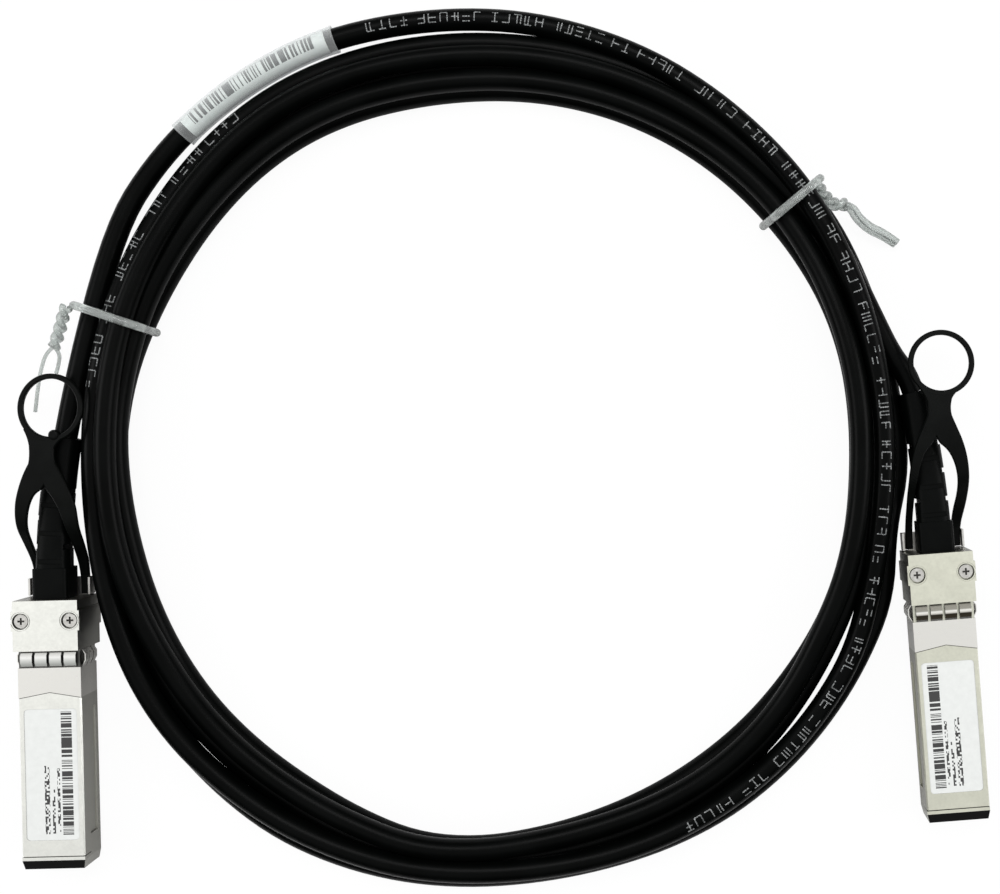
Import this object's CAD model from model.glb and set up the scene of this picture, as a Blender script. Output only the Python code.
import math
import random

import bmesh
import bpy
from mathutils import Matrix, Vector


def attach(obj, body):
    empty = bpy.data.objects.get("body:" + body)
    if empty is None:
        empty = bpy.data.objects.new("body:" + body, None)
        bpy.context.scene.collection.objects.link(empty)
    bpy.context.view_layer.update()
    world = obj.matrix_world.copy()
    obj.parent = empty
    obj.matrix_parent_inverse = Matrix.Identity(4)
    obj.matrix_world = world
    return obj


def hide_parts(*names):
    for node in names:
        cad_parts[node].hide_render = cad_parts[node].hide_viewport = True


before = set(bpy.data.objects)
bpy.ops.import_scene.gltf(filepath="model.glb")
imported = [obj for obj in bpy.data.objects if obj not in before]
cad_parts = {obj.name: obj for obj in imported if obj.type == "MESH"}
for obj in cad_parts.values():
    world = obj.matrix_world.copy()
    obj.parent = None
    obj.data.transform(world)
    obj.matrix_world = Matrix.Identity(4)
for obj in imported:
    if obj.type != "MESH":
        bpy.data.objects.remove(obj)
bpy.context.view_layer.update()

MM = 0.001
CABLE_R = 0.0024
# the coil's middle, in millimetres
CENTRE = Vector((-0.9, 32.5, 0.0))
# each connector's own origin and turn: x and y in millimetres, degrees
PLACE = {"left": (-96.9, 0.0, 1.4), "right": (93.2, 10.1, 4.4)}
rng = random.Random(7)


# ---- node helpers ----------------------------------------------------------------------------


class Nodes:
    """A small builder for one node tree: a new material's, or the given world's."""

    def __init__(self, name, world=None):
        self.mat = world or bpy.data.materials.new(name)
        self.mat.use_nodes = True
        self.tree = self.mat.node_tree
        self.tree.nodes.clear()
        self.out = self.add("ShaderNodeOutputWorld" if world else "ShaderNodeOutputMaterial")

    def add(self, kind, **values):
        node = self.tree.nodes.new(kind)
        for key, value in values.items():
            setattr(node, key, value)
        return node

    def put(self, value, socket):
        if isinstance(value, bpy.types.NodeSocket):
            self.tree.links.new(value, socket)
        else:
            socket.default_value = value

    def math(self, operation, *values):
        node = self.add("ShaderNodeMath", operation=operation)
        for value, socket in zip(values, node.inputs):
            self.put(value, socket)
        return node.outputs[0]

    def times(self, first, *others):
        for value in others:
            first = self.math("MULTIPLY", first, value)
        return first

    def between(self, value, low, high):
        return self.times(self.math("GREATER_THAN", value, low),
                          self.math("LESS_THAN", value, high))

    def mix(self, factor, a, b):
        node = self.add("ShaderNodeMix", data_type="RGBA")
        self.put(factor, node.inputs["Factor"])
        self.put(a, node.inputs["A"])
        self.put(b, node.inputs["B"])
        return node.outputs["Result"]

    def split(self, vector):
        node = self.add("ShaderNodeSeparateXYZ")
        self.put(vector, node.inputs["Vector"])
        return node.outputs

    def join(self, x=0.0, y=0.0, z=0.0):
        node = self.add("ShaderNodeCombineXYZ")
        for value, socket in zip((x, y, z), node.inputs):
            self.put(value, socket)
        return node.outputs["Vector"]

    def object_coords(self):
        return self.add("ShaderNodeTexCoord").outputs["Object"]

    def local(self, side):
        """The connector's own millimetres at this point: x, y and z."""
        x, y, turn = PLACE[side]
        node = self.add("ShaderNodeMapping", vector_type="TEXTURE")
        node.inputs["Location"].default_value = (x * MM, y * MM, 0.0)
        node.inputs["Rotation"].default_value = (0.0, 0.0, math.radians(turn))
        node.inputs["Scale"].default_value = (MM, MM, MM)
        self.put(self.object_coords(), node.inputs["Vector"])
        return self.split(node.outputs["Vector"])

    def facing_up(self):
        """How far the surface faces up: one when it lies flat, nought when it stands."""
        return self.split(self.add("ShaderNodeNewGeometry").outputs["True Normal"])["Z"]

    def upright(self):
        """One where the surface stands steeper than about 65 degrees."""
        return self.math("LESS_THAN", self.math("ABSOLUTE", self.facing_up()), 0.42)

    def noise(self, scale, detail=4.0, rough=0.55):
        node = self.add("ShaderNodeTexNoise")
        node.inputs["Scale"].default_value = scale
        node.inputs["Detail"].default_value = detail
        node.inputs["Roughness"].default_value = rough
        self.put(self.object_coords(), node.inputs["Vector"])
        return node.outputs["Fac"]

    def inked(self, blank, *cells):
        """One in a chance-picked share of the cells of one or two snapped coordinates."""
        node = self.add("ShaderNodeTexWhiteNoise", noise_dimensions=f"{len(cells)}D")
        if len(cells) == 1:
            self.put(cells[0], node.inputs["W"])
        else:
            self.put(self.join(*cells), node.inputs["Vector"])
        return self.math("GREATER_THAN", node.outputs["Value"], blank)

    def ramp(self, factor, stops):
        node = self.add("ShaderNodeValToRGB")
        ends = node.color_ramp.elements
        while len(ends) < len(stops):
            ends.new(0.5)
        for end, (place, colour) in zip(ends, stops):
            end.position = place
            end.color = (*colour, 1.0)
        self.put(factor, node.inputs["Fac"])
        return node.outputs["Color"]

    def bump(self, height, strength, distance):
        node = self.add("ShaderNodeBump")
        node.inputs["Strength"].default_value = strength
        node.inputs["Distance"].default_value = distance
        self.put(height, node.inputs["Height"])
        return node.outputs["Normal"]

    def principled(self, **values):
        node = self.add("ShaderNodeBsdfPrincipled")
        for key, value in values.items():
            self.put(value, node.inputs[key.replace("_", " ")])
        self.put(node.outputs["BSDF"], self.out.inputs["Surface"])

    def mix_shaders(self, factor, first, second):
        node = self.add("ShaderNodeMixShader")
        for value, socket in zip((factor, first, second), node.inputs):
            self.put(value, socket)
        self.put(node.outputs["Shader"], self.out.inputs["Surface"])


def rgb(r, g, b):
    return (r, g, b, 1.0)


# ---- materials: distances along a connector are its own millimetres, nose at the low end ------

FINGER_NEAR, FINGER_LENGTH = 10.9, 3.6
FINGER_BASE = 10.32
NOSE_SLOPE, NOSE_EDGE, NOSE_TOP = -55.55, -57.3, 8.0
SLEEVE_TIP, SLEEVE_RAKE, SLEEVE_BASE = 19.7, 1.2 / 6.7, 9.7
SEAM_HALF = 0.15
SCREW_RECESS = 0.01125
# the connector's label: bars, then rows of small marks, as (across, across, along, along)
BAR_FIELD = (2.15, 4.45, 23.9, 50.2)
MARK_ROWS = ((1.1, 1.7, 36.0, 49.9), (0.0, 0.6, 40.5, 49.9), (-1.6, -0.5, 35.4, 50.0))

FINGER_TONES = {
    "left": [(0.0, (0.30, 0.30, 0.29)), (0.16, (0.62, 0.62, 0.59)), (0.36, (0.86, 0.86, 0.83)),
             (0.55, (0.62, 0.63, 0.60)), (0.82, (0.36, 0.37, 0.35)), (1.0, (0.66, 0.66, 0.63))],
    "right": [(0.0, (0.03, 0.028, 0.02)), (0.14, (0.30, 0.29, 0.25)), (0.36, (0.34, 0.33, 0.29)),
              (0.44, (0.92, 0.91, 0.86)), (0.56, (0.62, 0.60, 0.55)),
              (0.62, (0.03, 0.026, 0.018)), (1.0, (0.05, 0.042, 0.03))],
}
# darkest and lightest tone, share of blue, and how dark the gaps under the fingers are
CASTING_TONES = {"left": (0.72, 0.84, 0.945, 0.9), "right": (0.60, 0.70, 0.85, 0.1)}


def finger_metal(name, side):
    """Bright sheet metal whose fingers reflect as smooth arches."""
    n = Nodes(name)
    _, y, z = n.local(side)
    fine = n.noise(1500.0, 4.0, 0.6)
    share = n.math("DIVIDE", n.math("SUBTRACT", -FINGER_NEAR, y), FINGER_LENGTH)
    raised = n.times(n.between(share, 0.0, 1.0), n.math("GREATER_THAN", z, FINGER_BASE))
    colour = n.mix(raised, rgb(0.78, 0.77, 0.73), n.ramp(share, FINGER_TONES[side]))
    colour = n.mix(n.times(n.upright(), 0.8), colour, rgb(0.10, 0.095, 0.085))
    arched = n.join(y=n.times(n.math("SUBTRACT", 0.5, share), 0.25), z=1.0)
    bent = n.add("ShaderNodeMix", data_type="VECTOR")
    n.put(raised, bent.inputs["Factor"])
    n.put(n.add("ShaderNodeNewGeometry").outputs["Normal"], bent.inputs[4])
    n.put(arched, bent.inputs[5])
    n.principled(Base_Color=colour, Metallic=1.0, Normal=bent.outputs[1],
                 Roughness=n.math("MULTIPLY_ADD", fine, 0.1, 0.24))
    return n.mat


def metal(name, light, dark, rough, shaded=0.0):
    """Plated metal: fine mottling in tone and gloss; walls that stand upright are duller."""
    n = Nodes(name)
    broad = n.noise(220.0, 3.0)
    fine = n.noise(900.0, 5.0, 0.6)
    tone = n.math("ADD", n.times(broad, 0.55), n.times(fine, 0.45))
    colour = n.ramp(tone, [(0.3, dark), (0.62, light)])
    colour = n.mix(n.times(n.upright(), shaded), colour, rgb(0.05, 0.048, 0.042))
    n.principled(Base_Color=colour, Metallic=1.0, Normal=n.bump(fine, 0.15, 0.00001),
                 Roughness=n.math("MULTIPLY_ADD", fine, 0.1, rough - 0.05))
    return n.mat


def screw_metal():
    """Plated screws with a dark cross recess, set by its depth."""
    n = Nodes("screw_plate")
    deep = n.math("LESS_THAN", n.split(n.object_coords())["Z"], SCREW_RECESS)
    fine = n.noise(1400.0, 4.0)
    colour = n.ramp(fine, [(0.3, (0.50, 0.49, 0.46)), (0.66, (0.66, 0.65, 0.62))])
    dark = n.math("MAXIMUM", n.times(n.upright(), 0.9), n.times(deep, 0.93))
    n.principled(Base_Color=n.mix(dark, colour, rgb(0.03, 0.028, 0.025)), Metallic=1.0,
                 Roughness=n.math("MULTIPLY_ADD", fine, 0.12, 0.24))
    return n.mat


def moulded(name, light, dark, rough, grain=1500.0, shine=0.5):
    """Moulded plastic or rubber with a fine grain."""
    n = Nodes(name)
    broad = n.noise(160.0, 3.0)
    fine = n.noise(grain, 4.0, 0.6)
    n.principled(Base_Color=n.ramp(broad, [(0.35, dark), (0.65, light)]),
                 Roughness=n.math("MULTIPLY_ADD", broad, 0.16, rough - 0.08),
                 Specular_IOR_Level=shine, Normal=n.bump(fine, 0.35, 0.00004))
    return n.mat


def cover_metal(name, side):
    """The die casting: plated outside, black lead-in slope at the nose, duller walls."""
    n = Nodes(name)
    x, y, z = n.local(side)
    low, high, blue, gap = CASTING_TONES[side]
    broad = n.noise(260.0, 3.0)
    fine = n.noise(1500.0, 5.0, 0.65)
    tone = n.math("ADD", n.times(broad, 0.5), n.times(fine, 0.5))
    colour = n.ramp(tone, [(0.3, (low, 1.005 * low, blue * low)),
                           (0.66, (high, 1.005 * high, blue * high))])
    slope = n.times(n.math("LESS_THAN", y, NOSE_SLOPE), n.between(n.facing_up(), 0.3, 0.985))
    edge = n.times(n.math("LESS_THAN", y, NOSE_EDGE), n.math("GREATER_THAN", z, NOSE_TOP))
    black = n.math("MAXIMUM", slope, edge)
    colour = n.mix(black, colour, rgb(0.004, 0.004, 0.004))
    colour = n.mix(n.times(n.upright(), 0.9), colour, rgb(0.095, 0.092, 0.078))
    gaps = n.times(n.between(y, -FINGER_NEAR - FINGER_LENGTH, -FINGER_NEAR), gap)
    colour = n.mix(gaps, colour, rgb(0.03, 0.03, 0.028))
    # the seam along the spring sleeve's arrow-shaped edge
    arrow = n.math("MULTIPLY_ADD", n.math("ABSOLUTE", x), SLEEVE_RAKE, SLEEVE_TIP)
    off_seam = n.math("ABSOLUTE", n.math("ADD", y, arrow))
    seam = n.times(n.math("LESS_THAN", off_seam, SEAM_HALF),
                   n.math("GREATER_THAN", z, SLEEVE_BASE))
    colour = n.mix(n.times(seam, 0.9), colour, rgb(0.04, 0.038, 0.034))
    n.principled(Base_Color=colour, Metallic=n.math("SUBTRACT", 1.0, black),
                 Roughness=n.math("MULTIPLY_ADD", fine, 0.16, 0.28),
                 Specular_IOR_Level=0.15, Normal=n.bump(fine, 0.3, 0.00002))
    return n.mat


def label_film(name, side):
    """White film with a bar column and rows of plain marks, in the connector's own frame."""
    n = Nodes(name)
    x, y, _ = n.local(side)
    across = x if side == "left" else n.times(x, -1.0)
    along = n.times(y, -1.0)

    def field(low, high, start, end):
        return n.times(n.between(across, low, high), n.between(along, start, end))

    ink = n.times(n.inked(0.42, n.math("SNAP", along, 0.16)), field(*BAR_FIELD))
    dots = n.inked(0.40, n.math("SNAP", along, 0.42), n.math("SNAP", across, 0.30))
    for row in MARK_ROWS:
        ink = n.math("MAXIMUM", ink, n.times(field(*row), dots))
    worn = n.noise(700.0, 3.0)
    paper = n.ramp(worn, [(0.3, (0.655, 0.67, 0.655)), (0.7, (0.70, 0.715, 0.70))])
    n.principled(Base_Color=n.mix(ink, paper, rgb(0.03, 0.03, 0.03)), Roughness=0.42,
                 Normal=n.bump(worn, 0.1, 0.00001))
    return n.mat


def jacket():
    """The cable's satin black sheath."""
    n = Nodes("jacket")
    broad = n.noise(90.0, 3.0)
    fine = n.noise(1800.0, 4.0, 0.6)
    colour = n.ramp(broad, [(0.35, (0.0005, 0.0007, 0.0006)), (0.65, (0.0012, 0.0015, 0.0014))])
    n.principled(Base_Color=colour, Roughness=n.math("MULTIPLY_ADD", broad, 0.12, 0.27),
                 Specular_IOR_Level=0.045, Normal=n.bump(fine, 0.3, 0.00003))
    return n.mat


def tie_coating():
    """Milky plastic, partly see-through."""
    n = Nodes("tie_coating")
    worn = n.noise(500.0, 4.0)
    tint = (0.66, 0.70, 0.68)
    colour = n.ramp(worn, [(0.3, tuple(0.86 * c for c in tint)), (0.7, tint)])
    n.principled(Base_Color=colour, Roughness=0.22, Transmission_Weight=0.7, IOR=1.45,
                 Normal=n.bump(worn, 0.3, 0.00005))
    return n.mat


def thin_film():
    """The clear sleeve: mostly see-through, with a pale sheen at grazing angles."""
    n = Nodes("clear_film")
    worn = n.noise(400.0, 3.0)
    clear = n.add("ShaderNodeBsdfTransparent")
    clear.inputs["Color"].default_value = rgb(0.96, 0.97, 0.97)
    gloss = n.add("ShaderNodeBsdfPrincipled")
    gloss.inputs["Base Color"].default_value = rgb(0.80, 0.82, 0.82)
    n.put(n.math("MULTIPLY_ADD", worn, 0.1, 0.12), gloss.inputs["Roughness"])
    rim = n.add("ShaderNodeLayerWeight")
    rim.inputs["Blend"].default_value = 0.35
    n.mix_shaders(n.math("MULTIPLY_ADD", rim.outputs["Facing"], 0.55, 0.10),
                  clear.outputs["BSDF"], gloss.outputs["BSDF"])
    return n.mat


def bar_wrap():
    """The wrap label: bars across the cable, from the mesh's own lengthwise coordinate."""
    n = Nodes("bar_wrap")
    coords = n.add("ShaderNodeUVMap", uv_map="along")
    along, around = n.split(coords.outputs["UV"])[:2]
    bars = n.times(n.inked(0.45, n.math("SNAP", along, 0.0075)),
                   n.times(n.between(along, 0.055, 0.93), n.between(around, 0.18, 0.40)))
    row = n.times(n.inked(0.45, n.math("SNAP", along, 0.016), n.math("SNAP", around, 0.02)),
                  n.times(n.between(along, 0.2, 0.85), n.between(around, 0.44, 0.50)))
    worn = n.noise(600.0, 3.0)
    paper = n.ramp(worn, [(0.3, (0.72, 0.75, 0.73)), (0.7, (0.80, 0.82, 0.80))])
    ink = n.math("MAXIMUM", bars, row)
    n.principled(Base_Color=n.mix(ink, paper, rgb(0.03, 0.035, 0.035)), Roughness=0.4)
    return n.mat


def print_ink():
    """The sheath's faded white print."""
    n = Nodes("print_marks_ink")
    faded = n.noise(1500.0, 3.0)
    colour = n.ramp(faded, [(0.35, (0.06, 0.065, 0.065)), (0.6, (0.26, 0.27, 0.27))])
    n.principled(Base_Color=colour, Roughness=0.6)
    return n.mat


MATERIALS = {
    "screw": screw_metal(),
    "slider": metal("slider_plate", (0.64, 0.63, 0.60), (0.48, 0.47, 0.45), 0.33, shaded=0.5),
    "gold": metal("gold_plate", (0.86, 0.64, 0.28), (0.70, 0.50, 0.20), 0.26),
    "brass": metal("crimp_plate", (0.72, 0.57, 0.31), (0.52, 0.40, 0.20), 0.34),
    "board": moulded("solder_mask", (0.012, 0.11, 0.04), (0.007, 0.075, 0.027), 0.32,
                     grain=1200.0),
    "resin": moulded("chip_case", (0.018, 0.018, 0.019), (0.01, 0.01, 0.011), 0.5),
    "ceramic": moulded("capacitor_body", (0.42, 0.30, 0.19), (0.30, 0.21, 0.13), 0.45),
    "wire": moulded("wire_skin", (0.52, 0.54, 0.56), (0.42, 0.44, 0.46), 0.35),
    "boot": moulded("strain_relief", (0.0014, 0.0018, 0.0016), (0.0007, 0.001, 0.0009), 0.42,
                    shine=0.05),
    "tab": moulded("tab_rubber", (0.0026, 0.0031, 0.0028), (0.0014, 0.0017, 0.0015), 0.42,
                   shine=0.06),
    "jacket": jacket(),
    "tie": tie_coating(),
    "film": thin_film(),
    "wrap": bar_wrap(),
    "ink": print_ink(),
}
for side in PLACE:
    MATERIALS[f"{side}_casting"] = cover_metal(f"{side}_casting", side)
    MATERIALS[f"{side}_paper"] = label_film(f"{side}_paper", side)
    MATERIALS[f"{side}_fingers"] = finger_metal(f"{side}_fingers", side)


# ---- the CAD nodes' looks ----------------------------------------------------------------------

NODE_LOOK = {
    "cover_screws": "screw", "latch_slider": "slider",
    "return_spring": "slider", "edge_pads": "gold", "crimp_ferrule": "brass",
    "circuit_board": "board", "memory_chip": "resin", "capacitors": "ceramic",
    "wire_pairs": "wire", "cable_boot": "boot", "pull_tab": "tab", "cable_end": "jacket",
}
CASTING_EDGE = 0.00012


def dress(obj, look, bevel=0.0):
    """Give a CAD node its material, and soften its edges a little."""
    obj.data.materials.clear()
    obj.data.materials.append(MATERIALS[look])
    if bevel:
        soft = obj.modifiers.new("edge", "BEVEL")
        soft.width = bevel
        soft.segments = 2
        soft.limit_method = "ANGLE"
        soft.angle_limit = math.radians(35)


for side in PLACE:
    for part, look in NODE_LOOK.items():
        dress(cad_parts[f"{side}_{part}"], look)
    dress(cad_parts[f"{side}_top_cover"], f"{side}_casting", CASTING_EDGE)
    dress(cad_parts[f"{side}_base_shell"], f"{side}_casting", CASTING_EDGE)
    dress(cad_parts[f"{side}_label"], f"{side}_paper")
    dress(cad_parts[f"{side}_spring_sleeve"], f"{side}_fingers")


# ---- curves and meshes ------------------------------------------------------------------------


def place_object(name, data, look):
    """A new object in the scene, in one material."""
    obj = bpy.data.objects.new(name, data)
    bpy.context.scene.collection.objects.link(obj)
    data.materials.append(MATERIALS[look])
    return obj


def nurbs(name, splines, radius, look, resolution=6, shares=None):
    """A round curve object made of quadratic splines, each with its share of the radius."""
    data = bpy.data.curves.new(name, "CURVE")
    data.dimensions = "3D"
    data.resolution_u = resolution
    data.bevel_depth = radius
    data.bevel_resolution = 6
    data.use_fill_caps = True
    for number, points in enumerate(splines):
        spline = data.splines.new("NURBS")
        spline.points.add(len(points) - 1)
        for slot, point in zip(spline.points, points):
            slot.co = (*point, 1.0)
            slot.radius = shares[number] if shares else 1.0
        spline.order_u = 3
        spline.use_endpoint_u = True
    return place_object(name, data, look)


def line_of(points, resolution=8):
    """Points read from a NURBS spline with no bevel, ends included."""
    bare = nurbs("route", [points], 0.0, "jacket", resolution)
    mesh = bpy.data.meshes.new_from_object(bare)
    found = [vertex.co.copy() for vertex in mesh.vertices]
    bpy.data.meshes.remove(mesh)
    bpy.data.curves.remove(bare.data)
    return found


def eased(keys, at):
    """The second value at a place, on a smooth line through (place, value) keys."""
    spot = 0
    while spot < len(keys) - 2 and keys[spot + 1][0] < at:
        spot += 1
    (x0, v0), (x1, v1) = keys[max(0, spot - 1)], keys[spot]
    (x2, v2), (x3, v3) = keys[spot + 1], keys[min(len(keys) - 1, spot + 2)]
    t = (at - x1) / (x2 - x1)
    slope1, slope2 = (v2 - v0) / (x2 - x0), (v3 - v1) / (x3 - x1)
    return ((2 * t ** 3 - 3 * t ** 2 + 1) * v1 + (t ** 3 - 2 * t ** 2 + t) * (x2 - x1) * slope1
            + (3 * t ** 2 - 2 * t ** 3) * v2 + (t ** 3 - t ** 2) * (x2 - x1) * slope2)


# ---- pull tabs: soft bands, drawn from rails in each connector's own millimetres --------------

# heights of the band's middle along the connector
TAB_LEVEL = [(0.0, 2.5), (2.0, 2.5), (4.5, 2.8), (7.5, 4.1), (11.5, 7.0), (15.5, 9.9),
             (20.0, 11.1), (25.0, 11.6), (31.0, 11.6), (40.0, 11.0), (50.0, 10.6)]
# pairs of edges: the two arms from the foot up, the neck, and two flares under the ring
TAB_RAILS = {
    "left": [
        ([(-5.8, 0.4), (-5.7, 4.7), (-5.6, 8.5), (-5.9, 12.5), (-6.2, 16.5), (-5.9, 20.5),
          (-4.9, 24.0), (-3.6, 27.4), (-2.5, 29.3)],
         [(-4.3, 0.4), (-4.3, 4.7), (-4.1, 8.5), (-4.2, 12.5), (-3.9, 16.5), (-3.1, 20.0),
          (-1.6, 22.9), (0.9, 24.0), (2.2, 28.5)]),
        ([(5.9, 0.4), (6.1, 4.7), (6.7, 8.5), (6.9, 12.5), (7.0, 16.5), (6.9, 20.2), (5.8, 23.6),
          (4.4, 26.8), (3.1, 29.4)],
         [(4.3, 0.4), (4.3, 4.7), (4.4, 8.5), (4.5, 12.5), (4.1, 16.0), (3.3, 19.6), (2.0, 22.3),
          (0.7, 23.9), (-0.5, 28.3)]),
        ([(-3.9, 26.0), (-2.6, 28.6), (-2.3, 31.0), (-2.4, 33.0), (-2.5, 34.4)],
         [(4.6, 26.0), (3.4, 28.3), (2.8, 30.6), (2.9, 32.6), (3.3, 34.1)]),
        ([(-2.35, 32.6), (-2.6, 34.6), (-3.6, 36.4)], [(0.6, 34.3), (-1.0, 35.2), (-3.0, 36.9)]),
        ([(2.9, 32.2), (3.4, 33.6), (5.6, 35.0)], [(1.2, 34.3), (2.8, 34.6), (5.0, 35.4)])],
    "right": [
        ([(-5.9, 0.4), (-5.7, 4.7), (-5.5, 9.0), (-5.4, 13.6), (-4.9, 18.0), (-3.9, 22.2),
          (-2.5, 25.4), (-1.1, 28.0), (-0.4, 29.6)],
         [(-4.3, 0.4), (-4.2, 4.7), (-4.1, 8.0), (-3.9, 12.5), (-3.5, 15.9), (-2.7, 18.9),
          (-1.6, 21.8), (0.6, 23.6), (3.0, 28.3)]),
        ([(6.0, 0.4), (6.2, 4.7), (7.1, 8.3), (7.6, 12.0), (7.7, 15.6), (7.5, 19.5), (6.7, 23.4),
          (5.4, 26.9), (4.6, 29.2)],
         [(4.4, 0.4), (4.3, 4.5), (4.6, 8.3), (5.3, 12.0), (5.3, 15.6), (4.7, 19.0), (3.3, 22.0),
          (1.0, 23.8), (0.3, 28.5)]),
        ([(-1.7, 26.0), (-0.6, 28.4), (-0.2, 30.6), (-0.3, 32.4), (-0.6, 34.0)],
         [(5.7, 26.0), (4.7, 28.4), (4.5, 30.6), (4.9, 32.4), (5.4, 33.9)]),
        ([(-0.25, 31.9), (-0.6, 33.8), (-1.9, 35.6)], [(2.2, 33.7), (0.6, 34.4), (-1.3, 36.2)]),
        ([(4.8, 32.2), (5.4, 33.6), (7.2, 34.7)], [(4.2, 33.7), (5.6, 34.2), (6.9, 35.1)])],
}
# each ring's middle, outer radius, and how much wider it is along the connector
TAB_RING = {"left": (2.05, 40.95, 7.1, 0.17), "right": (3.4, 40.3, 7.02, 0.0)}
RING_WIDTH, RING_STEPS = 1.12, 84
TAB_HALF, TAB_CUT = 0.55, 0.2
STUB_SIDES = 20
# bands that cross stand this much higher than the one before, so that no faces coincide
BAND_STEP, RING_LIFT = 0.015, 0.05
# the pins in the slider's rear plate, and the left tab's gate mark, as (height, radius) rings
PIN_AT, PIN_RINGS = (5.2, 2.4), [(1.32, 0.45), (1.45, 0.54), (2.4, 0.54)]
GATE_AT, GATE_RINGS = (2.9, 35.1), [(10.9, 1.15), (11.9, 1.15), (12.2, 0.95), (12.35, 0.6)]


def strip(verts, faces, one, other, closed=False, lift=0.0):
    """A band of even thickness with broken edges between two rails."""
    first, corner = len(verts), TAB_HALF - TAB_CUT
    for a, b in zip(one, other):
        inward = (b - a).normalized() * TAB_CUT
        za, zb = (eased(TAB_LEVEL, p.y) + lift for p in (a, b))
        for point, level, rise in (
                (a + inward, za, -TAB_HALF), (a, za, -corner), (a, za, corner),
                (a + inward, za, TAB_HALF), (b - inward, zb, TAB_HALF), (b, zb, corner),
                (b, zb, -corner), (b - inward, zb, -TAB_HALF)):
            verts.append((point.x, point.y, level + rise))
    count = len(one)
    for k in range(count if closed else count - 1):
        here, there = first + 8 * k, first + 8 * ((k + 1) % count)
        for j in range(8):
            faces.append((here + j, here + (j + 1) % 8, there + (j + 1) % 8, there + j))
    if not closed:
        faces.append(tuple(range(first, first + 8)))
        faces.append(tuple(range(first + 8 * count - 8, first + 8 * count)))


def stub(verts, faces, x, y, rings):
    """A round pin or dome from (height, radius) rings."""
    first, around = len(verts), STUB_SIDES
    for height, radius in rings:
        for k in range(around):
            turn = 2 * math.pi * k / around
            verts.append((x + radius * math.cos(turn), y + radius * math.sin(turn), height))
    for ring in range(len(rings) - 1):
        for k in range(around):
            a, b = first + ring * around + k, first + ring * around + (k + 1) % around
            faces.append((a, b, b + around, a + around))
    faces.append(tuple(range(first, first + around)))
    faces.append(tuple(range(first + around * (len(rings) - 1), first + around * len(rings))))


def pull_tab(side):
    """One soft tab: bands for its arms and neck, a ring, and the pins in the slider's plate."""
    verts, faces = [], []
    for number, pair in enumerate(TAB_RAILS[side]):
        rails = [line_of([Vector((x, y, 0.0)) for x, y in rail], 5) for rail in pair]
        strip(verts, faces, *rails, lift=BAND_STEP * number)
    x, y, radius, square = TAB_RING[side]
    rails = ([], [])
    for k in range(RING_STEPS):
        turn = 2 * math.pi * k / RING_STEPS
        way = Vector((math.cos(turn), math.sin(turn), 0.0))
        reach_mm = radius - square * math.cos(2 * turn)
        rails[0].append(Vector((x, y, 0.0)) + way * reach_mm)
        rails[1].append(Vector((x, y, 0.0)) + way * (reach_mm - RING_WIDTH))
    strip(verts, faces, *rails, closed=True, lift=RING_LIFT)
    for sign in (-1, 1):
        stub(verts, faces, sign * PIN_AT[0], PIN_AT[1], PIN_RINGS)
    if side == "left":
        stub(verts, faces, *GATE_AT, GATE_RINGS)
    home_x, home_y, turn = PLACE[side]
    place = Matrix.Translation((home_x * MM, home_y * MM, 0.0))
    place = place @ Matrix.Rotation(math.radians(turn), 4, "Z") @ Matrix.Scale(MM, 4)
    mesh = bpy.data.meshes.new(f"{side}_soft_tab")
    mesh.from_pydata([place @ Vector(v) for v in verts], [], faces)
    shape = bmesh.new()
    shape.from_mesh(mesh)
    bmesh.ops.recalc_face_normals(shape, faces=shape.faces)
    shape.to_mesh(mesh)
    shape.free()
    obj = place_object(f"{side}_soft_tab", mesh, "tab")
    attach(obj, f"{side}_release")
    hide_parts(f"{side}_pull_tab")


for side in PLACE:
    pull_tab(side)


# ---- the cable -------------------------------------------------------------------------------

# Keys of the cable's line, seen from the coil's middle: angle in degrees (falling, because the
# cable runs clockwise from the left connector), radius and height in millimetres.
TURN_A = [(150, 96.9, 3.8), (140, 97.8, 3.4), (131, 97.9, 3.3), (121, 97.5, 3.3),
          (112, 96.9, 3.3), (101, 95.0, 3.3), (90, 93.9, 3.3), (80, 92.3, 3.7), (70, 90.7, 4.6),
          (60, 88.6, 6.0), (50, 86.4, 8.2), (40, 84.9, 9.6), (30, 83.3, 10.4), (20, 82.5, 10.2),
          (10, 82.2, 9.5), (0, 82.3, 9.3), (-10, 82.9, 8.9), (-20, 85.2, 7.6), (-28, 88.0, 6.8),
          (-36, 89.2, 6.8), (-44, 90.0, 6.8), (-52, 90.6, 6.9), (-60, 90.9, 7.0),
          (-70, 90.9, 7.7), (-80, 90.5, 8.8), (-90, 90.8, 9.2), (-100, 92.0, 9.2),
          (-110, 92.9, 8.0), (-120, 93.7, 7.1), (-130, 93.7, 7.1), (-140, 93.6, 7.2),
          (-150, 92.3, 7.2), (-160, 90.2, 7.2), (-170, 88.6, 7.2)]
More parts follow.
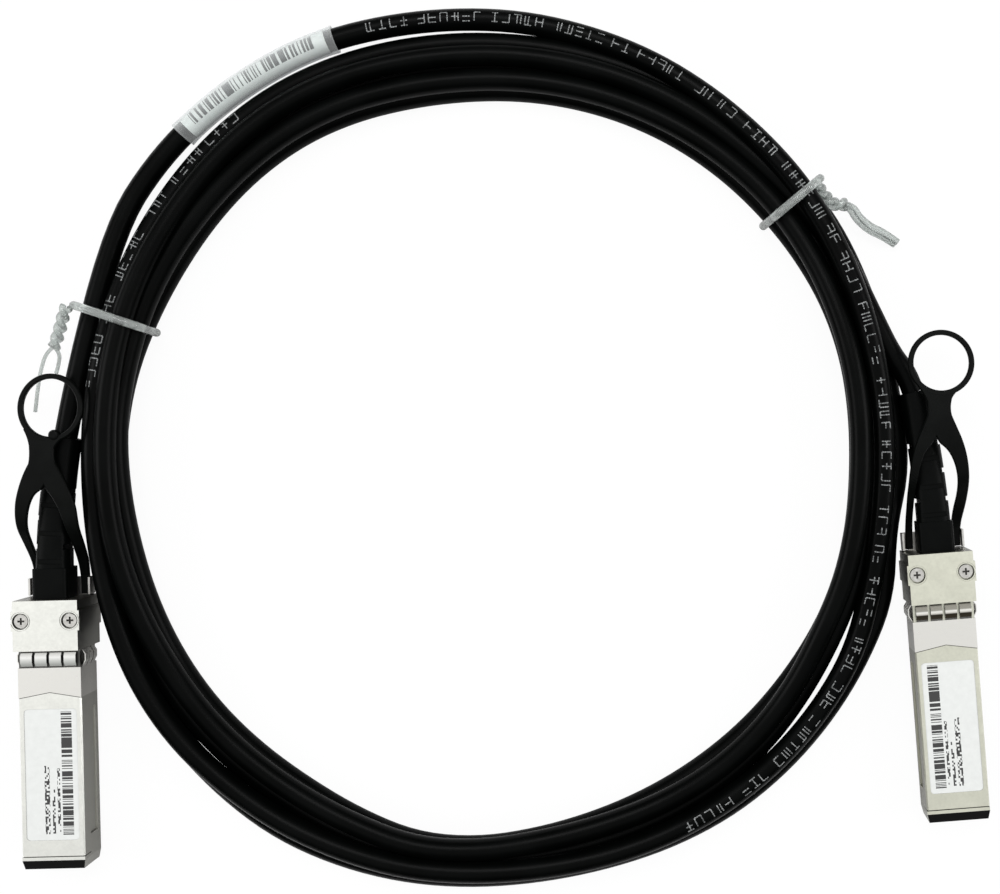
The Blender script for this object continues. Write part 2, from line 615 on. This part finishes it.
TURN_B = [(180, 87.9, 7.2), (170, 88.2, 7.0), (160, 89.0, 6.0), (150, 90.0, 4.7),
          (140, 91.1, 3.2), (130, 92.0, 2.45), (120, 91.9, 2.45), (110, 90.9, 2.45),
          (100, 89.8, 2.45), (90, 88.9, 2.45), (80, 88.3, 2.45), (60, 87.7, 2.45),
          (40, 87.8, 2.45), (30, 87.3, 2.45), (20, 86.5, 2.45), (10, 86.5, 2.45), (4, 87.0, 2.45),
          (-2, 88.0, 2.45), (-6, 87.8, 2.45), (-10, 86.5, 2.45), (-13, 87.2, 2.45),
          (-16, 88.7, 2.45), (-22, 90.9, 2.45), (-30, 91.6, 2.45), (-40, 92.6, 2.45),
          (-50, 93.4, 2.45), (-60, 93.9, 2.45), (-70, 93.6, 2.45), (-80, 93.6, 2.45),
          (-90, 94.4, 2.45), (-100, 95.6, 2.45), (-110, 96.5, 2.45), (-120, 97.0, 2.45),
          (-130, 96.2, 2.45), (-140, 95.2, 2.45), (-150, 94.0, 2.45), (-160, 91.7, 2.45),
          (-170, 90.2, 2.45)]
TURN_C = [(180, 89.4, 2.45), (170, 88.8, 2.45), (160, 87.7, 2.45), (150, 86.8, 2.45),
          (130, 86.9, 2.45), (120, 86.8, 2.45), (100, 84.7, 2.45), (80, 83.6, 2.45),
          (60, 83.3, 2.45), (40, 83.4, 2.45), (30, 82.4, 3.5), (20, 81.0, 5.5), (10, 80.6, 6.2),
          (-10, 80.8, 6.2), (-20, 81.8, 6.2), (-30, 83.0, 5.4), (-40, 85.6, 2.7),
          (-50, 87.5, 2.45), (-60, 88.6, 2.45), (-70, 88.9, 3.2), (-80, 88.6, 5.3),
          (-90, 89.7, 5.7), (-100, 91.1, 5.7), (-110, 91.4, 4.0), (-120, 90.7, 2.6),
          (-140, 90.3, 2.45), (-150, 89.5, 2.45), (-160, 87.7, 2.45), (-170, 85.8, 2.45)]
TURN_D = [(180, 84.9, 2.45), (170, 84.1, 2.45), (160, 82.8, 2.45), (150, 82.0, 2.45),
          (130, 81.9, 2.45), (120, 81.4, 2.45), (100, 79.1, 2.45), (80, 78.7, 2.45),
          (60, 78.8, 2.45), (40, 79.0, 2.45), (20, 79.8, 2.45), (0, 79.4, 2.45),
          (-10, 80.1, 2.45), (-20, 81.4, 2.45), (-30, 81.8, 2.45), (-40, 82.2, 2.45),
          (-50, 82.9, 2.45), (-60, 83.6, 2.45), (-70, 84.6, 2.45), (-80, 85.9, 2.45),
          (-90, 87.8, 2.45), (-99, 89.4, 2.45), (-110, 87.9, 2.45), (-120, 86.5, 2.45),
          (-140, 85.8, 2.45), (-150, 84.9, 3.2), (-160, 83.4, 5.6), (-170, 82.5, 7.0)]
TURN_E = [(180, 83.0, 7.2), (170, 82.8, 7.1), (160, 82.9, 6.8), (140, 82.5, 6.6),
          (120, 82.2, 6.6), (100, 80.0, 6.6), (80, 79.4, 6.6), (60, 79.4, 6.6), (40, 79.5, 6.8),
          (30, 78.6, 8.0), (20, 77.6, 9.8), (10, 77.0, 10.6), (0, 76.8, 10.6), (-10, 77.3, 10.6),
          (-20, 78.4, 10.4), (-30, 79.2, 9.8), (-40, 81.9, 7.4), (-50, 83.7, 6.6),
          (-60, 84.4, 6.7), (-70, 84.4, 7.4), (-80, 84.2, 8.9), (-90, 85.8, 9.2),
          (-100, 87.5, 9.3), (-110, 87.1, 8.0), (-120, 86.9, 6.7), (-140, 86.4, 6.6),
          (-150, 85.6, 7.4), (-160, 85.0, 9.4), (-170, 84.2, 10.8)]
TURN_F = [(180, 83.9, 11.1), (170, 84.4, 10.5), (160, 85.3, 9.6), (150, 85.9, 8.9),
          (140, 86.8, 7.5), (130, 87.7, 6.7), (120, 87.7, 6.6), (110, 86.7, 6.6),
          (100, 85.5, 6.6), (80, 84.4, 6.6), (60, 84.0, 6.2), (50, 83.6, 5.9), (42, 83.8, 5.9),
          (33, 84.6, 6.1)]

BOOT_TIP = {"left": Vector((-94.74, 34.56, 6.0)), "right": Vector((88.36, 44.33, 6.0))}
LEFT_LEAD = [(-91.8, 51.3, 5.7)]
RIGHT_LEAD = [(74.0, 72.2, 6.2), (79.5, 60.7, 6.2), (83.6, 52.4, 6.1), (87.1, 48.2, 6.0)]
POINT_STEP = 9.0
# the keys hold for this height; each millimetre below it draws a key in and aside
KEY_HEIGHT, DRAW_IN, ASIDE_X, ASIDE_Y = 10.1, 0.0014, 0.124, 0.0255
KEY_SHIFT_X, KEY_SHIFT_Y = 0.5, 0.1


def polar(angle, radius, height):
    """A key seen from above, brought down to its height: lower ones stand nearer the middle."""
    turn = math.radians(angle)
    below = KEY_HEIGHT - height
    radius *= 1 - DRAW_IN * below
    drawn_in = Vector((KEY_SHIFT_X - ASIDE_X * below, KEY_SHIFT_Y - ASIDE_Y * below, height))
    return CENTRE + drawn_in + Vector((radius * math.cos(turn), radius * math.sin(turn), 0.0))


def coil_points():
    """The coil's turns, a point every few degrees, from keys joined by smooth curves."""
    radii, heights = [], []
    for turn, rows in enumerate((TURN_A, TURN_B, TURN_C, TURN_D, TURN_E, TURN_F)):
        for angle, radius, height in rows:
            radii.append((360.0 * turn - angle, radius))
            heights.append((360.0 * turn - angle, height))
    # a quadratic curve cuts inside its points, so the points stand a little further out
    cut_inside = math.cos(math.radians(POINT_STEP / 2))
    points = []
    passed = radii[0][0]
    while passed <= radii[-1][0]:
        points.append(polar(-passed, eased(radii, passed) / cut_inside, eased(heights, passed)))
        passed += POINT_STEP
    return points


def cable_controls():
    """The cable's points from boot to boot, in metres."""
    controls = [BOOT_TIP["left"]]
    controls += [Vector(point) for point in LEFT_LEAD]
    controls += coil_points()
    controls += [Vector(point) for point in RIGHT_LEAD]
    controls.append(BOOT_TIP["right"])
    return [point * MM for point in controls]


controls = cable_controls()
line = line_of(controls)
reach = [0.0]
for before, after in zip(line, line[1:]):
    reach.append(reach[-1] + (after - before).length)
print(f"cable line {reach[-1]:.3f} m in {len(controls)} points")
cable = nurbs("cable", [controls], CABLE_R, "jacket", resolution=5)
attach(cable, "cable_set")
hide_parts("cable_coil", "left_cable_lead", "right_cable_lead")


def line_at(distance):
    """Point and heading on the cable's line."""
    for k in range(1, len(reach)):
        if reach[k] >= distance:
            t = (distance - reach[k - 1]) / max(1e-9, reach[k] - reach[k - 1])
            return line[k - 1].lerp(line[k], t), (line[k] - line[k - 1]).normalized()
    return line[-1], (line[-1] - line[-2]).normalized()


def across(heading):
    """The directions to the side of a heading and up from it."""
    side = heading.cross(Vector((0, 0, 1))).normalized()
    return side, side.cross(heading).normalized()


def along_angle(angle, start=0.0):
    """Distance along the line where it first passes an angle round the coil's middle."""
    last = None
    for k, point in enumerate(line):
        if reach[k] < start:
            continue
        here = math.degrees(math.atan2(point.y - CENTRE.y * MM, point.x - CENTRE.x * MM))
        if last is not None and last > angle >= here:
            return reach[k]
        last = here
    return reach[-1]


# ---- wrap label and clear sleeve on the first strand -----------------------------------------


TUBE_SIDES, TUBE_STEP = 40, 0.0006
# the flare at each mouth fades out over this many steps
FLARE_STEPS = 3.0


def tube_mesh(name, start, end, radius, look, flare=0.0):
    """An open tube round the cable's line, with lengthwise and round-about coordinates."""
    count, around = max(2, int((end - start) / TUBE_STEP)), TUBE_SIDES
    verts, faces, spots = [], [], []
    for k in range(count + 1):
        share = k / count
        centre, heading = line_at(start + (end - start) * share)
        side, up = across(heading)
        lift = flare * max(0.0, 1 - min(share, 1 - share) * count / FLARE_STEPS)
        for j in range(around):
            turn = 2 * math.pi * j / around
            verts.append(centre + (side * math.cos(turn) + up * math.sin(turn)) * (radius + lift))
            spots.append((share, j / around))
    for k in range(count):
        for j in range(around):
            a, b = k * around + j, k * around + (j + 1) % around
            faces.append((a, a + around, b + around, b))
    mesh = bpy.data.meshes.new(name)
    mesh.from_pydata([tuple(v) for v in verts], [], faces)
    layer = mesh.uv_layers.new(name="along")
    for polygon in mesh.polygons:
        polygon.use_smooth = True
        wrapped = any(spots[v][1] > 0.9 for v in polygon.vertices)
        for loop in polygon.loop_indices:
            share, turn = spots[mesh.loops[loop].vertex_index]
            layer.data[loop].uv = (share, 1.0 if wrapped and turn < 0.1 else turn)
    return place_object(name, mesh, look)


wrap = tube_mesh("wrap_label", along_angle(135.4), along_angle(113.5), CABLE_R + 0.00010, "wrap")
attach(wrap, "cable_set")
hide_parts("cable_label")
film = tube_mesh("clear_sleeve_film", along_angle(136.6), along_angle(112.3), CABLE_R + 0.00055,
                 "film", flare=0.0001)
thick = film.modifiers.new("wall", "SOLIDIFY")
thick.thickness = 0.0002
thick.offset = -1.0
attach(film, "cable_set")
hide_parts("label_sleeve")


# ---- printed marks on the sheath: plain strokes, no lettering ---------------------------------

# each figure is a few strokes on a grid two wide and two high: (from, to) corners
STROKES = [((0, 0), (0, 2)), ((2, 0), (2, 2)), ((0, 0), (2, 0)), ((0, 1), (2, 1)),
           ((0, 2), (2, 2)), ((1, 0), (1, 2))]
MARK_LIFT = CABLE_R + 0.00003
MARK_TALL, MARK_INK, MARK_GAP = 0.0020, 0.00024, 0.0009


def dab(verts, faces, distance, turn, length, width):
    """One small patch of ink on the sheath, at a distance along it and a turn round it."""
    first = len(verts)
    for dd, dt in ((-length / 2, -width / 2), (length / 2, -width / 2),
                   (length / 2, width / 2), (-length / 2, width / 2)):
        centre, heading = line_at(distance + dd)
        side, up = across(heading)
        angle = turn + dt / MARK_LIFT
        verts.append(tuple(centre + (up * math.cos(angle) + side * math.sin(angle)) * MARK_LIFT))
    faces.append((first, first + 1, first + 2, first + 3))


def stroke_marks(name, spans):
    """Rows of printed strokes, in no readable figures, that follow the top of the cable."""
    verts, faces = [], []
    for start, end, lean in spans:
        at = start
        while at < end:
            for _ in range(rng.randint(2, 6)):
                wide = rng.uniform(0.0013, 0.0017)
                for (a0, b0), (a1, b1) in rng.sample(STROKES, rng.randint(2, 3)):
                    steps = 4 if b0 != b1 else 3
                    for step in range(steps):
                        t = (step + 0.5) / steps
                        along = at + wide * (a0 + (a1 - a0) * t) / 2
                        turn = lean + (MARK_TALL * ((b0 + (b1 - b0) * t) / 2 - 0.5)) / MARK_LIFT
                        if b0 != b1:
                            size = (MARK_INK, MARK_TALL / steps * rng.uniform(0.7, 1.0))
                        else:
                            size = (wide / steps * rng.uniform(0.7, 1.0), MARK_INK)
                        dab(verts, faces, along, turn, *size)
                at += wide + MARK_GAP
            at += rng.uniform(0.0012, 0.0028)
    mesh = bpy.data.meshes.new(name)
    mesh.from_pydata(verts, [], faces)
    return place_object(name, mesh, "ink")


first_print = (along_angle(108.0), along_angle(-62.0))
first_turn = along_angle(-90.0)
second_print = (along_angle(172.5, first_turn), along_angle(133.0, first_turn))
marks = stroke_marks("print_marks", [(*first_print, -0.05), (*second_print, -0.35)])
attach(marks, "cable_set")


# ---- twist ties ------------------------------------------------------------------------------

TIE_R = 0.00082
TIE_LOW, TIE_TOP = 0.9, 12.95
TWIST_R, TWIST_PITCH = 0.75, 4.6
LEFT_KNOT = [(-93.4, 62.6, 8.8), (-94.5, 60.2, 8.2), (-95.4, 57.4, 7.6), (-96.9, 54.1, 6.8)]
LEFT_LEGS = [[(-96.9, 54.2, 6.6), (-99.2, 53.2, 5.4), (-101.1, 48.8, 4.0), (-102.2, 44.4, 3.0),
              (-103.1, 40.1, 2.0)],
             [(-96.9, 54.0, 6.4), (-96.1, 52.8, 5.9), (-96.5, 50.9, 5.1), (-97.5, 48.5, 4.3)]]
RIGHT_KNOT = [(66.8, 89.4, 8.4), (68.4, 87.6, 7.2), (69.9, 85.8, 6.4), (71.8, 84.6, 6.0),
              (73.8, 85.0, 5.6)]
RIGHT_LEGS = [[(73.6, 85.0, 5.6), (75.6, 84.6, 5.0), (76.8, 82.6, 4.4), (79.6, 80.4, 3.4),
               (82.2, 79.5, 2.8), (85.6, 77.2, 2.2)],
              [(73.7, 84.9, 5.4), (75.0, 84.0, 4.8), (76.2, 82.0, 4.0), (79.2, 79.6, 2.6),
               (82.0, 78.6, 2.0), (85.1, 76.7, 1.5)]]
# the loop's angle, its near and far reach, the knot, the legs, and each run's share of the
# thickness: loop, two twisted strands, two legs
TIES = {"left": (161.6, 80.1, 96.6, LEFT_KNOT, LEFT_LEGS, (1.08, 0.8, 0.8, 0.5, 0.5)),
        "right": (40.0, 76.1, 89.9, RIGHT_KNOT, RIGHT_LEGS, (1.12, 0.9, 0.9, 0.9, 0.9))}


def tie_loop(angle, near, far):
    """A rounded loop round the bundle, in the upright plane at that angle."""
    low, top = TIE_LOW, TIE_TOP
    corners = ((near, low + 1.0), (near + 1.2, low), (far - 1.5, low), (far, low + 1.6),
               (far, top - 3.5), (far - 2.5, top - 0.6), ((near + far) / 2, top),
               (near + 2.5, top - 0.3), (near, top - 2.4), (near, low + 2.4), (near, low + 1.0))
    return [polar(angle, reach_mm, height) * MM for reach_mm, height in corners]


def twisted(path):
    """Two strands wound round a path given in millimetres."""
    line_mm = line_of([Vector(p) for p in path], 12)
    total = 0.0
    strands = ([], [])
    for k, point in enumerate(line_mm):
        ahead = line_mm[min(k + 1, len(line_mm) - 1)]
        behind = line_mm[max(k - 1, 0)]
        side, up = across((ahead - behind).normalized())
        if k:
            total += (point - line_mm[k - 1]).length
        for half, strand in enumerate(strands):
            turn = 2 * math.pi * (total / TWIST_PITCH + half / 2)
            strand.append((point + (side * math.cos(turn) + up * math.sin(turn)) * TWIST_R) * MM)
    return strands


for side, (angle, near, far, knot, legs, shares) in TIES.items():
    splines = [tie_loop(angle, near, far), *twisted(knot)]
    splines += [[Vector(p) * MM for p in leg] for leg in legs]
    tie = nurbs(f"{side}_twist_tie", splines, TIE_R, "tie", shares=shares)
    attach(tie, "cable_set")
    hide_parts(f"{side}_tie")


# ---- floor, light and camera -----------------------------------------------------------------

# a pale paper floor, a hair below the object, that reads as white to the camera
floor_mesh = bpy.data.meshes.new("floor")
floor_mesh.from_pydata([(-3, -3, 0), (3, -3, 0), (3, 3, 0), (-3, 3, 0)], [], [(0, 1, 2, 3)])
floor = bpy.data.objects.new("floor", floor_mesh)
floor.location.z = -0.00002
bpy.context.scene.collection.objects.link(floor)
n = Nodes("floor_paper")
matt = n.add("ShaderNodeBsdfDiffuse")
n.put(n.ramp(n.noise(3.0, 2.0), [(0.3, (0.93, 0.93, 0.93)), (0.7, (0.95, 0.95, 0.95))]),
      matt.inputs["Color"])
glow = n.add("ShaderNodeEmission")
glow.inputs["Color"].default_value = rgb(1.0, 1.0, 1.0)
glow.inputs["Strength"].default_value = 1.0
to_camera = n.add("ShaderNodeLightPath").outputs["Is Camera Ray"]
n.mix_shaders(n.times(to_camera, 0.94), matt.outputs["BSDF"], glow.outputs["Emission"])
floor_mesh.materials.append(n.mat)

LAMP_AIM, LAMP_POWER = Vector((0.0, 0.03, 0.0)), 3.0


def area_light(name, where, width, height):
    """A soft rectangular lamp that faces the coil's middle."""
    data = bpy.data.lights.new(name, "AREA")
    data.shape = "RECTANGLE"
    data.size = width
    data.size_y = height
    data.energy = LAMP_POWER
    lamp = bpy.data.objects.new(name, data)
    lamp.location = where
    lamp.rotation_euler = (LAMP_AIM - Vector(where)).to_track_quat("-Z", "Y").to_euler()
    bpy.context.scene.collection.objects.link(lamp)


area_light("overhead", (0.0, 0.45, 0.85), 0.5, 0.3)
area_light("left_fill", (-0.8, 0.1, 0.5), 0.4, 0.4)
area_light("right_fill", (0.8, 0.1, 0.5), 0.4, 0.4)

# the room: bright above, darker below, dimmer on the side of the plugs' noses
SKY_LEVELS = ((0.0, 0.12), (0.42, 0.22), (0.62, 0.85), (0.8, 1.05), (0.93, 0.92), (1.0, 0.86))
world = bpy.data.worlds.new("studio")
bpy.context.scene.world = world
n = Nodes("studio", world)
_, y, z = n.split(n.add("ShaderNodeTexCoord").outputs["Generated"])
dim = n.add("ShaderNodeMapRange")
n.put(y, dim.inputs["Value"])
for key, value in (("From Min", -0.75), ("From Max", -0.35), ("To Min", 0.22), ("To Max", 1.0)):
    dim.inputs[key].default_value = value
sky = n.add("ShaderNodeVectorMath", operation="SCALE")
n.put(n.ramp(z, [(place, (level, level, level)) for place, level in SKY_LEVELS]),
      sky.inputs["Vector"])
n.put(dim.outputs["Result"], sky.inputs["Scale"])
room = n.add("ShaderNodeBackground")
n.put(sky.outputs["Vector"], room.inputs["Color"])
# seen past the floor's edge the room is plain white
plain = n.add("ShaderNodeBackground")
plain.inputs["Color"].default_value = rgb(1.0, 1.0, 1.0)
n.mix_shaders(n.add("ShaderNodeLightPath").outputs["Is Camera Ray"],
              room.outputs["Background"], plain.outputs["Background"])

# straight above a point right of and above the coil's middle; the lens shift keeps the view square
camera_data = bpy.data.cameras.new("camera")
camera_data.sensor_width = 36.0
camera_data.lens = 52.315
camera_data.shift_x = -0.180
camera_data.shift_y = -0.037
camera_data.clip_start = 0.01
camera = bpy.data.objects.new("camera", camera_data)
camera.location = (0.03799, 0.04049, 0.320)
camera.rotation_euler = (0.0, 0.0, 0.0)
bpy.context.scene.collection.objects.link(camera)
bpy.context.scene.camera = camera
bpy.context.scene.view_settings.view_transform = "Standard"
